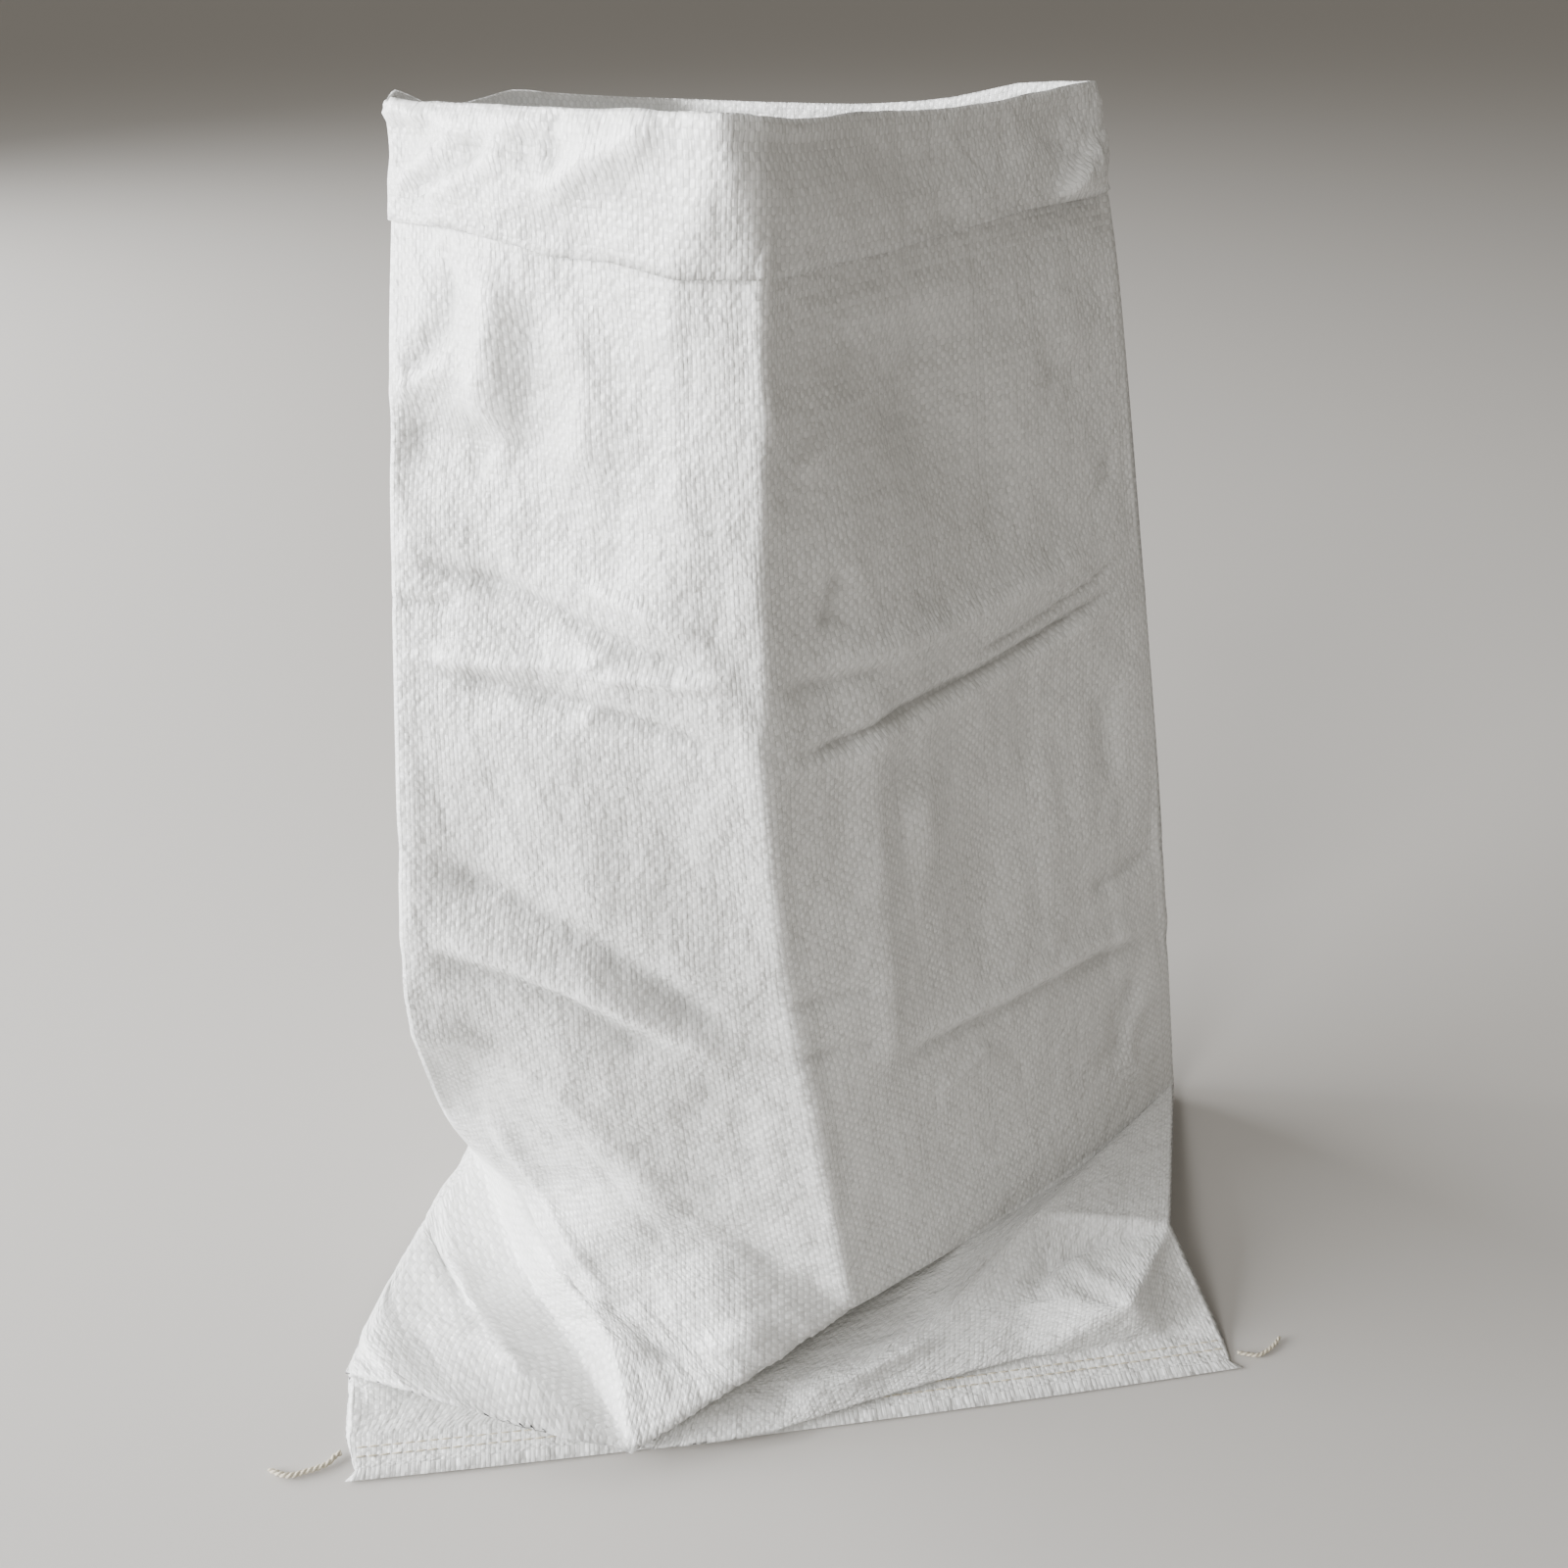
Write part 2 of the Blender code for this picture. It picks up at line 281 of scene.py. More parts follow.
def tube_faces(rows, ring, base=0):
    """Faces of a closed tube whose rows of ring points each start at base."""
    faces = []
    last = base + (rows - 1) * ring
    for i in range(base, last, ring):
        for k in range(ring):
            m = (k + 1) % ring
            faces.append((i + k, i + m, i + ring + m, i + ring + k))
    faces.append(tuple(base + k for k in range(ring))[::-1])
    faces.append(tuple(last + k for k in range(ring)))
    return faces


def curve_point(a, leave, b, arrive, t):
    """A share t of the way along the smooth curve from a to b with these directions at its ends."""
    ease = t * t * (3 - 2 * t)
    return a + (b - a) * ease + leave * (t * (1 - t) ** 2) - arrive * (t * t * (1 - t))


# Loose thread ends

TAIL_ROUTES = {
    "thread_tail_left": [(-301.2, -207, 2.8), (-304.5, -208.5, 2.3), (-309, -213, 2.0), (-320, -216, 1.9),
                         (-331, -217, 1.9), (-342, -212, 1.9)],
    "thread_tail_right": [(252.0, -211, 2.4), (257, -212.5, 1.9), (264, -214, 1.5), (271, -212, 1.5),
                          (278, -208, 1.5), (284, -203, 1.5)],
}
TAIL_RADIUS = {"thread_tail_left": 1.7, "thread_tail_right": 1.3}
TAIL_STEP = 0.5
TAIL_RING = 20
# How far the two plies turn in a millimetre, in radians
TAIL_TWIST = 0.9
# The stretch over which the free end gets thinner, and the share it loses
TAIL_TAPER = 6.0
TAPER_SHARE = 0.35
# The thread's radius between its two plies, as a share
WAIST = 0.55
TAIL_CLEARANCE = 0.15


def smooth_route(route):
    """Points along a smooth curve through the route."""
    points = [Vector(p) for p in route]
    points = [2 * points[0] - points[1]] + points + [2 * points[-1] - points[-2]]
    out = []
    for before, start, end, after in zip(points, points[1:], points[2:], points[3:]):
        pieces = max(1, round((end - start).length / TAIL_STEP))
        for i in range(pieces):
            out.append(curve_point(start, (end - before) / 2, end, (after - start) / 2, i / pieces))
    out.append(points[-2])
    return out


def route_length(route):
    return sum((b - a).length for a, b in zip(route, route[1:]))


def twisted_tube(route, radius):
    """A two-ply thread: a tube with a waisted section that turns along the route, millimetres."""
    verts = []
    length = route_length(route)
    gone = 0.0
    for i, place in enumerate(route):
        if i:
            gone += (place - route[i - 1]).length
        ahead = (route[min(i + 1, len(route) - 1)] - route[max(i - 1, 0)]).normalized()
        side = ahead.cross(Vector((0, 0, 1))).normalized()
        up = side.cross(ahead)
        near_end = max(0.0, 1.0 - (length - gone) / TAIL_TAPER)
        size = radius * (1.0 - TAPER_SHARE * near_end ** 2)
        for k in range(TAIL_RING):
            angle = 2 * math.pi * k / TAIL_RING
            lobe = abs(math.cos(angle - gone * TAIL_TWIST))
            r = size * (WAIST + (1 - WAIST) * lobe)
            verts.append(place + side * (r * math.cos(angle)) + up * (r * math.sin(angle)))
    return verts, tube_faces(len(route), TAIL_RING)


def build_tails():
    for name, rough_route in TAIL_ROUTES.items():
        radius = TAIL_RADIUS[name]
        route = smooth_route(rough_route)
        verts, faces = twisted_tube(route, radius)
        lift = Vector((0, 0, max(0.0, TAIL_CLEARANCE - min(v.z for v in verts))))
        verts = [v + lift for v in verts]
        route = [p + lift for p in route]
        tail = add_mesh(name + "_twist", [placed(v) for v in verts], faces, THREAD_MATERIAL)
        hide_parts(name)
        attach(tail, "root")


build_tails()


# The cloth's landmarks

# The mouth's fold line: across, x, y, z
RIM = [
    (0, -199, 30, 702.0), (26, -181, 11, 702.5), (65, -156, -18, 704.0), (116, -122, -55, 705.0),
    (163, -88, -90, 706.5), (186, -73, -105, 707.0), (216, -51, -125, 707.5), (240, -37, -120, 706.2),
    (265, -24, -105, 703.6), (307, 2, -72, 701.8), (355, 31, -35, 699.8), (399, 62, -2, 698.2),
    (442, 94, 27, 698.4), (472, 117, 47, 699.4), (498, 136, 65, 700.3), (522, 155, 82, 701.4),
    (550, 176, 101, 702.4), (570, 160, 113, 701.9), (593, 141, 127, 700.2), (615, 124, 140, 695.4),
    (640, 104, 155, 690.4), (697, 57, 188, 685.8), (758, 7, 222, 684.9), (823, -47, 258, 684.5),
    (906, -103, 197, 691.5), (939, -126, 172, 694.5), (963, -141, 154, 697.3), (984, -150, 135, 697.2),
    (1012, -162, 110, 695.7), (1031, -170, 92, 695.2), (1045, -176, 80, 694.8), (1062, -183, 65, 696.9),
    (1079, -190, 49, 701.6), (1092, -196, 37, 705.1),
]

# The cuff: down, out from the wall, below the rim as a share of the cuff's height there
CUFF_ROWS = [(0, 5.0, 1.0), (30, 5.5, 0.52), (54, 4.0, 0.114), (58.5, 3.0, 0.042), (62, 1.8, 0.008),
             (65.5, 0.4, 0.042), (76, 0.0, 0.211)]

# The cuff's clearance from the wall: down, millimetres, and its share of that: across, share
CUFF_GAP = [(0, 3.8), (30, 4.6), (54, 4.0)]
CUFF_CLOSENESS = [(0, 0.45), (25, 0.6), (60, 1), (1060, 1), (1085, 0.6), (1100, 0.45)]

# At the right fold the cuff bulges near the rim and tucks in at its lower edge: down, millimetres
CUFF_BULGE = [(0, -2.5), (12, -0.5), (30, 2.5), (54, 3.5)]
BULGE_WIDTH = 16.0

# How far the cut edge hangs below the rim: across, millimetres
CUFF_HEIGHT = [(0, 52.5), (45, 52.5), (65, 54.0), (99, 58.0), (116, 61.0), (152, 61.5), (193, 66.0),
               (216, 65.0), (240, 63.6), (282, 62.0), (349, 61.0), (404, 56.5), (459, 53.5),
               (498, 54.8), (528, 56.0), (550, 55.5), (600, 60.0), (823, 60.0), (1040, 58.0),
               (1100, 52.5)]

# Creases and corners of the cloth below the rim: across, down, x, y, z
CLOTH_POINTS = dict(
    left_mid=(0, 366, -229, -53, 412),
    left_face_mid=(115, 363, -133, -95, 412),
    bevel_left_1=(186, 130, -73, -107, 637),
    bevel_left_2=(184, 200, -75, -106, 568),
    bevel_left_3=(186, 251, -73, -111, 518),
    bevel_left_4=(193, 291, -67, -116, 479),
    bevel_left_5=(209, 320, -54, -124, 449),
    bevel_right_1=(240, 130, -37, -121, 638),
    bevel_right_2=(240, 174, -36, -122, 594),
    bevel_right_3=(238, 219, -36, -124, 549),
    bevel_right_4=(236, 268, -36, -125, 501),
    bevel_right_5=(234, 320, -36, -127, 449),
    front_mid=(228, 357, -38, -131, 412),
    right_face_mid=(375, 358, 84, -42, 412),
    left_high=(0, 190, -213.6, -6, 576),
    right_top=(550, 125, 192.6, 93.4, 640),
    right_high=(550, 190, 206, 86, 578),
    right_mid=(550, 362, 236, 68, 412),
    back_right_mid=(677, 346, 98, 106, 412),
    back_mid=(823, 360, -29, 138, 412),
    back_left_mid=(962, 368, -128, 46, 412),
    left_low=(0, 522, -241, -96, 263),
    left_face_low=(115, 500, -136, -122, 272),
    front_low=(228, 484, -28, -135, 284),
    right_face_low=(380, 510, 108, -49, 268),
    right_low=(550, 524, 263.5, 49, 250),
    back_right_low=(677, 515, 118, 62, 250),
    back_low=(823, 537, -19, 68, 250),
    back_left_low=(962, 539, -130, -10, 250),
    knee_fold=(0, 558, -240, -104, 228),
    knee=(55, 570, -189, -107, 215),
    knee_edge_high=(90, 630, -154, -122, 160),
    knee_edge_mid=(130, 670, -110, -134, 120),
    knee_edge_low=(172, 705, -64, -145, 85),
    toe=(228, 759, 10, -173, 38),
    right_edge_low=(328, 765, 98, -121, 26),
    right_edge_mid=(447, 766, 204, -55, 18),
    right_foot=(550, 767, 298, 20, 12),
    shin=(0, 680, -238, -58, 122),
    notch=(0, 810, -230, -2, 24),
    left_floor=(0, 885, -269, -44, 9),
    left_corner=(0, 990, -304, -160, 12),
    left_corner_tuck=(0, 996, -303, -157, 8),
    left_band=(0, 1032, -300, -196, 3),
    left_ridge_top=(33, 774, -197, -82, 72),
    left_ridge_high=(60, 802, -171, -133, 52),
    left_ridge_low=(88, 860, -142, -176, 38),
    trough_top=(24, 806, -207, -68, 36),
    trough_high=(45, 836, -188, -120, 23),
    trough_low=(72, 878, -162, -168, 16),
    flap_ridge_top=(12, 868, -250, -80, 15),
    flap_ridge_high=(42, 892, -223, -137, 25),
    flap_ridge_low=(74, 915, -193, -181, 24),
    flap_face=(14, 930, -283, -130, 16),
    flap_edge_left=(30, 970, -258, -187, 23),
    flap_edge_right=(75, 940, -197, -215, 21),
    beak=(120, 900, -131, -235, 11),
    beak_edge=(178, 825, -64.5, -210, 28),
    tuck_left=(35, 1000, -250, -167, 4),
    tuck_mid=(80, 990, -190, -172, 6),
    tuck_beak=(128, 960, -128, -180, 6),
    tuck_edge=(195, 880, -50, -160, 7),
    tuck_toe=(240, 805, 24, -128, 6),
    roll_start=(140, 1014, -150, -214, 5.0),
    roll_beak=(172, 1005, -119, -229.5, 5.5),
    roll_1=(200, 1003, -99, -231.0, 6.0),
    roll_2=(246, 1003, -52, -230.0, 6.5),
    roll_3=(276, 1005, -22, -224.0, 6.5),
    roll_4=(322, 1013, 24, -214.5, 6.5),
    roll_5=(376, 1021, 78, -205.5, 6.5),
    roll_6=(420, 1026, 121, -199.5, 6.0),
    pocket=(165, 985, -112, -212, 8),
    low_swell=(212, 975, -82, -206, 12),
    soft_crease_top=(252, 950, -38, -196, 10),
    soft_crease_tip=(262, 992, -36, -223, 8),
    swell_left=(282, 972, -20, -211, 14),
    swell_mid=(318, 948, 16, -196, 14),
    swell_high=(356, 925, 64, -173, 15),
    swell_right=(405, 930, 122, -163, 18),
    pinch_ridge=(430, 870, 149, -110, 32),
    pinch_crease=(430, 905, 147, -141, 13),
    pinch_crease_mid=(484, 925, 186, -131, 20),
    pinch_tip=(483, 972, 186, -189, 33),
    pinch=(550, 950, 233, -133, 34),
    right_band=(550, 1032, 247, -199, 3),
    back_left_foot=(962, 680, -132, 4, 110),
    back_foot=(825, 697, 0, 66, 90),
    peek=(1074, 806, -243, 24, 17),
    floor_rear_right=(610, 778, 230, 44, REAR_LAYER),
    floor_rear_right_mid=(677, 768, 150, 54, REAR_LAYER),
    floor_rear=(825, 790, 10, 60, REAR_LAYER),
    floor_rear_left_mid=(962, 795, -120, 44, REAR_LAYER),
    floor_rear_left=(1035, 806, -190, 34, REAR_LAYER),
    floor_right=(640, 925, 150, -85, REAR_LAYER),
    floor_mid=(825, 925, -10, -85, REAR_LAYER),
    floor_left=(1000, 925, -190, -85, REAR_LAYER),
)


# Creases that the cloth follows: the width over which each is rounded, and the points on it
CREASES = [
    (2, "rim_6_0 left_high left_mid left_low knee_fold"),
    (3, "knee_fold shin notch"),
    (2, "notch left_floor left_corner left_corner_tuck left_band"),
    (2, "rim_6_186 bevel_left_1 bevel_left_2 bevel_left_3 bevel_left_4 bevel_left_5 front_mid"),
    (3, "rim_6_240 bevel_right_1 bevel_right_2 bevel_right_3 bevel_right_4 bevel_right_5 front_mid"),
    (3, "front_mid front_low toe"),
    (2, "rim_6_550 right_top right_high right_mid right_low right_foot"),
    (2, "right_foot pinch"),
    (2, "pinch right_band"),
    (12, "rim_6_823 back_mid back_low back_foot floor_rear"),
    (5, "knee_fold knee"),
    (8, "knee knee_edge_high knee_edge_mid knee_edge_low toe"),
    (2.5, "toe right_edge_low right_edge_mid right_foot"),
    (2, "left_ridge_top left_ridge_high left_ridge_low beak"),
    (8, "notch left_ridge_top"),
    (3, "trough_top trough_high trough_low beak"),
    (2, "left_floor flap_ridge_top flap_ridge_high flap_ridge_low beak"),
    (5, "left_corner flap_edge_left flap_edge_right beak"),
    (5, "beak beak_edge toe"),
    (3, "left_corner_tuck tuck_left tuck_mid tuck_beak tuck_edge tuck_toe right_edge_low"),
    (3, "band_front_90 roll_start roll_beak roll_1 roll_2 roll_3 roll_4 roll_5 roll_6 band_front_465 "
     "pinch_tip"),
    (5, "soft_crease_top soft_crease_tip"),
    (12, "soft_crease_tip swell_left swell_mid swell_high swell_right"),
    (4, "pinch_ridge pinch"),
    (3, "pinch_crease pinch_crease_mid pinch"),
    (3, "pinch_tip pinch"),
    (8, "swell_right pinch_tip"),
    (4, "right_foot floor_rear_right floor_rear_right_mid floor_rear floor_rear_left_mid "
     "floor_rear_left"),
]

HEM_STATIONS = [35, 90, 160, 200, 240, 276, 322, 376, 420, 465, 510]

# Slack when a place is looked up on the flat cloth, and the least length that anything is divided by
TINY = 1e-6


def read_off(table, places):
    """The table's values at the places, by straight shares between its rows."""
    return np.interp(places, *np.array(table, float).T)


def unit(vectors):
    """The vectors, each made 1 long."""
    return vectors / np.maximum(np.linalg.norm(vectors, axis=-1, keepdims=True), TINY)


def round_tube(values):
    """From the grid line before each one to the line after it, round the tube."""
    return np.roll(values, -1, axis=0) - np.roll(values, 1, axis=0)


def outward(ring):
    """Level directions that point straight out of a ring of places."""
    along = round_tube(ring)
    return unit(np.stack([along[:, 1], -along[:, 0]], axis=-1))


def hem_line(across):
    share = across / FLAT_WIDTH
    return (HEM_LEFT[0] + (HEM_RIGHT[0] - HEM_LEFT[0]) * share,
            HEM_LEFT[1] + (HEM_RIGHT[1] - HEM_LEFT[1]) * share - HEM_BOW * 4 * share * (1 - share))


def all_landmarks():
    """Every named point of the cloth: across, down, x, y, z."""
    points = {}
    rim = np.array(RIM, float)
    heights = read_off(CUFF_HEIGHT, rim[:, 0])
    for row, (down, out, share) in enumerate(CUFF_ROWS):
        for (across, x, y, z), way, height in zip(RIM, outward(rim[:, 1:3]), heights):
            points["rim_%d_%d" % (row, across)] = (
                across, down, x + way[0] * out, y + way[1] * out, z - share * height)
    points.update(CLOTH_POINTS)
    for side, first, last in (("left", 0, HEM_LEFT), ("right", FLAT_WIDTH, HEM_RIGHT)):
        points["hem_" + side] = (first, FLAT_LENGTH, last[0], last[1], (REAR_LAYER + FRONT_LAYER) / 2)
    for across in HEM_STATIONS:
        x, y = hem_line(across)
        for side, station, z in (("front", across, FRONT_LAYER),
                                 ("rear", ROUND - across, REAR_LAYER)):
            points["hem_%s_%d" % (side, across)] = (station, FLAT_LENGTH, x, y, z)
            points["band_%s_%d" % (side, across)] = (
                station, FLAT_LENGTH - HEM_BAND, x, y + HEM_BAND, z + BAND_RISE * (side == "front"))
    return points


def all_creases():
    """Every crease with its rounding: those listed, the cuff's rows and the hem's band."""
    creases = [(width, names.split()) for width, names in CREASES]
    for row in range(len(CUFF_ROWS)):
        creases.append((3 if row else 1, ["rim_%d_%d" % (row, place[0]) for place in RIM + RIM[:1]]))
    creases.append((3, ["left_band"] + ["band_front_%d" % a for a in HEM_STATIONS] + ["right_band"]))
    creases.append((4, ["right_band"] + ["band_rear_%d" % a for a in HEM_STATIONS][::-1]
                    + ["left_band"]))
    return creases


def facets():
    """The landmarks joined into triangles on the flat cloth: flat places, real places, corners."""
    named = all_landmarks()
    names = list(named)
    seam = [name for name in names if named[name][0] == 0]
    flat = [Vector(named[name][:2]) for name in names]
    flat += [Vector((ROUND, named[name][1])) for name in seam]
    index = {name: i for i, name in enumerate(names)}
    beyond = {name: len(names) + i for i, name in enumerate(seam)}
    edges = []
    for _, chain in all_creases():
        for a, b in zip(chain, chain[1:]):
            ia, ib = index[a], index[b]
            if named[a][0] > FLAT_WIDTH and b in beyond:
                ib = beyond[b]
            edges.append((ia, ib))
            if a in beyond and b in beyond:
                edges.append((beyond[a], beyond[b]))
    result = delaunay_2d_cdt(flat, edges, [], 0, 0.001)
    flat_at = np.array([tuple(v) for v in result[0]])
    real = np.array([named[name][2:] for name in names + seam], float)
    real_at = real[[origin[0] for origin in result[3]]]
    corners = [(face[0], b, c) for face in result[2] for b, c in zip(face[1:], face[2:])]
    return flat_at, real_at, np.array(corners), named


def stations(stops):
    """Grid lines: stops are (from, to, about how far apart)."""
    out = []
    for first, last, step in stops:
        count = max(1, round((last - first) / step))
        out += list(np.linspace(first, last, count, endpoint=False))
    out.append(stops[-1][1])
    return np.array(out)


GRID_ACROSS = stations([(0, 12, 3.0), (12, 538, 4.7), (538, 562, 3.0), (562, 600, 8.0),
                        (600, 1050, 16.0), (1050, 1088, 8.0), (1088, 1100, 3.0)])
GRID_DOWN = stations([(0, 30, 5.0), (30, 54, 4.0), (54, 76, 2.0), (76, 100, 4.0), (100, 270, 4.6),
                      (270, 385, 2.8), (385, 580, 4.6), (580, 640, 3.4), (640, 770, 4.4),
                      (770, 1030, 3.5), (1030, 1060, 2.8)])
# The last grid line across is the first one again
AROUND = GRID_ACROSS[:-1]


def flat_points():
    """Across and down of each grid point."""
    return np.stack(np.meshgrid(AROUND, GRID_DOWN, indexing="ij"), axis=-1)


def grid_block(low, high):
    """The part of the grid that lies between two flat places."""
    return tuple(slice(*np.searchsorted(lines, ends))
                 for lines, *ends in zip((AROUND, GRID_DOWN), low, high))


def spread_over_grid(flat_at, real_at, corners):
    """The faceted shape at every grid point, by straight shares within each triangle."""
    points = flat_points()
    shape = np.zeros(points.shape[:-1] + (3,))
    for face in corners:
        flat, real = flat_at[face], real_at[face]
        sides = flat[1:] - flat[0]
        if abs(np.linalg.det(sides)) < TINY:
            continue
        part = grid_block(flat.min(axis=0) - TINY, flat.max(axis=0) + TINY)
        shares = (points[part] - flat[0]) @ np.linalg.inv(sides)
        inside = (shares.min(axis=-1) > -TINY) & (shares.sum(axis=-1) < 1 + TINY)
        shape[part][inside] = (real[0] + shares @ (real[1:] - real[0]))[inside]
    return shape


def round_apart(a, b):
    """How far apart two stations are round the tube."""
    gap = np.abs(a - b)
    return np.minimum(gap, ROUND - gap)


def stretches(chain):
    """Start and direction of each straight stretch of a chain of flat places, on round the tube."""
    for a, b in zip(chain, chain[1:]):
        a, b = np.array(a, float), np.array(b, float)
        if b[0] - a[0] < -FLAT_WIDTH:
            b = b + (ROUND, 0)
        yield a, b - a


def beside(points, start, along):
    """How far each point is from a stretch, and its share of the way along it."""
    away = points - start
    share = np.clip((away @ along) / max(along @ along, TINY), 0, 1)
    return np.linalg.norm(away - share[..., None] * along, axis=-1), share


def distance_to(points, chain):
    """How far each flat grid point is from a chain of flat places, round the tube if nearer."""
    return np.min([beside(points, start + (turn, 0), along)[0]
                   for start, along in stretches(chain) for turn in (-ROUND, 0, ROUND)], axis=0)


SAMPLE_STEP = 2.0


def chain_samples(chain, named):
    """Points along a chain: flat place, place on the straight facets' edge, place on a smooth curve."""
    real = [np.array(named[name][2:], float) for name in chain]
    if chain[0] == chain[-1]:
        real = [real[-2], *real, real[1]]
    else:
        real = [2 * real[0] - real[1], *real, 2 * real[-1] - real[-2]]
    flat = stretches([named[name][:2] for name in chain])
    out = []
    for (place, along), before, a, b, after in zip(flat, real, real[1:], real[2:], real[3:]):
        back, span, ahead = [np.linalg.norm(side) for side in (a - before, b - a, after - b)]
        # Tangents at both ends, held back where the next stretch is much shorter or longer
        start = (b - before) / max(span + back, TINY) * span
        end = (after - a) / max(span + ahead, TINY) * span
        pieces = max(2, int(np.linalg.norm(along) / SAMPLE_STEP))
        for t in np.linspace(0, 1, pieces, endpoint=False):
            across, down = place + along * t
            curve = curve_point(a, start, b, end, t)
            out.append((across % ROUND, down, *(a * (1 - t) + b * t), *curve))
    return np.array(out)


def kernels(width):
    """Weights that blur the grid across and down over a width in millimetres."""
    cell_a = (np.roll(AROUND, -1) - AROUND) % ROUND
    cell_a = (cell_a + np.roll(cell_a, 1)) / 2
    ka = np.exp(-0.5 * (round_apart(AROUND[:, None], AROUND) / width) ** 2) * cell_a
    kd = np.exp(-0.5 * ((GRID_DOWN[:, None] - GRID_DOWN) / width) ** 2) * np.gradient(GRID_DOWN)
    return ka / ka.sum(axis=1, keepdims=True), kd / kd.sum(axis=1, keepdims=True)


def blurred(shape, width, width_down=None):
    """The grid's values, evened out over a width across and a width down."""
    ka, kd = kernels(width)[0], kernels(width_down or width)[1]
    out = np.tensordot(ka, shape, axes=(1, 0))
    return np.moveaxis(np.tensordot(kd, out, axes=(1, 1)), 0, 1)


def line_before(grid, values):
    """The grid line before each value, and the value's share of the way to the next."""
    i = np.clip(np.searchsorted(grid, values, side="right") - 1, 0, len(grid) - 2)
    return i, ((values - grid[i]) / (grid[i + 1] - grid[i]))[:, None]


def sample_at(shape, places):
    """The shape at flat places, by straight shares between grid points."""
    a, share_a = line_before(GRID_ACROSS, places[:, 0])
    d, share_d = line_before(GRID_DOWN, places[:, 1])
    first, second = [shape[line, d] * (1 - share_d) + shape[line, d + 1] * share_d
                     for line in (a, (a + 1) % len(AROUND))]
    return first * (1 - share_a) + second * share_a


def pull(shape, places, moves, width):
    """Adds moves wanted at scattered flat places to the grid, fading out over the width."""
    wa = np.exp(-0.5 * (round_apart(AROUND[:, None], places[None, :, 0]) / width) ** 2)
    wd = np.exp(-0.5 * ((GRID_DOWN[:, None] - places[None, :, 1]) / width) ** 2)
    weight = wa @ wd.T
    out = np.stack([wa @ (wd * moves[None, :, c]).T for c in range(3)], axis=-1)
    # About a third of the weight that a lone line of places has on itself
    settle = 0.35 * 2.5 * width / SAMPLE_STEP
    return shape + out / (weight + settle * np.exp(-weight / settle))[..., None]


# Widths in millimetres of the blurs that round the facets
SOFT_LEVELS = [0.0, 1.0, 2.0, 3.5, 5.5, 8.0, 12.0]
# The blur on a crease, as a share of its rounding, and what each millimetre away from it adds
ON_CREASE = 0.35
AWAY_FROM_CREASE = 0.26
# Widths in millimetres over which the grid is pulled to the curved creases, first and afterwards
FIRST_PULL = 10.0
LATER_PULLS = (14.0, 6.0)


def smooth_grid(shape, named):
    """Curves the creases, rounds the facets between them and keeps the creases in their places."""
    points = flat_points()
    soft = np.full(points.shape[:-1], SOFT_LEVELS[-1])
    samples = []
    for width, chain in all_creases():
        away = distance_to(points, [named[name][:2] for name in chain])
        soft = np.minimum(soft, ON_CREASE * width + AWAY_FROM_CREASE * away)
        samples.append(chain_samples(chain, named))
    samples = np.concatenate(samples)
    places, straight, curve = samples[:, :2], samples[:, 2:5], samples[:, 5:]
    shape = pull(shape, places, curve - straight, FIRST_PULL)
    stack = [shape] + [blurred(shape, level) for level in SOFT_LEVELS[1:]]
    out = shape
    for low, high, first, second in zip(SOFT_LEVELS, SOFT_LEVELS[1:], stack, stack[1:]):
        share = np.clip((soft - low) / (high - low), 0, 1)[..., None]
        out = np.where((soft >= low)[..., None], first * (1 - share) + second * share, out)
    for width in LATER_PULLS:
        out = pull(out, places, curve - sample_at(out, places), width)
    return out


# Share of the hem's thickness that it still has one grid line before the fold
NOSE_SHARE = 0.75


def hem_nose(shape):
    """The front and rear layers meet in a round nose along the hem's fold."""
    middle, half = (REAR_LAYER + FRONT_LAYER) / 2, (FRONT_LAYER - REAR_LAYER) / 2
    for i, a in enumerate(AROUND):
        shape[i, -1] = (*hem_line(min(a, ROUND - a)), middle)
        side = 0.0 if a in (0, FLAT_WIDTH) else math.copysign(1.0, FLAT_WIDTH - a)
        shape[i, -2, 2] = middle + side * NOSE_SHARE * half
    return shape


# The cuff follows the wall's directions at this place, and its lean over this many grid lines
WALL_PLACE = 110.0
WALL_ROWS = 60


def hang_cuff(shape):
    """Lays the folded-out part of the cloth against the wall, just outside it."""
    rim_row, end_row, wall_row = [int(np.argmin(np.abs(GRID_DOWN - place)))
                                  for place in (RIM_DOWN, CUFF_END, WALL_PLACE)]
    outside = GRID_DOWN[:end_row]
    heights = read_off(CUFF_HEIGHT, AROUND)
    shares = read_off([(down, share) for down, _, share in CUFF_ROWS], outside)
    gaps = read_off(CUFF_GAP, outside)
    closeness = read_off(CUFF_CLOSENESS, AROUND)
    ways = outward(shape[:, wall_row, :2])
    for _ in range(3):
        ways = (np.roll(ways, 1, axis=0) + 2 * ways + np.roll(ways, -1, axis=0)) / 4
    ways = unit(ways)
    bulge = read_off(CUFF_BULGE, outside)
    corner = np.exp(-((AROUND - FLAT_WIDTH) / BULGE_WIDTH) ** 2)
    out = shape.copy()
    for i in range(len(shape)):
        wall = shape[i, rim_row:rim_row + WALL_ROWS]
        drop = wall[0, 2] - wall[:, 2]
        depth = shares * heights[i]
        clear = gaps * closeness[i] + bulge * corner[i]
        for c in range(2):
            out[i, :end_row, c] = np.interp(depth, drop, wall[:, c]) + ways[i, c] * clear
        out[i, :end_row, 2] = wall[0, 2] - depth
    return out


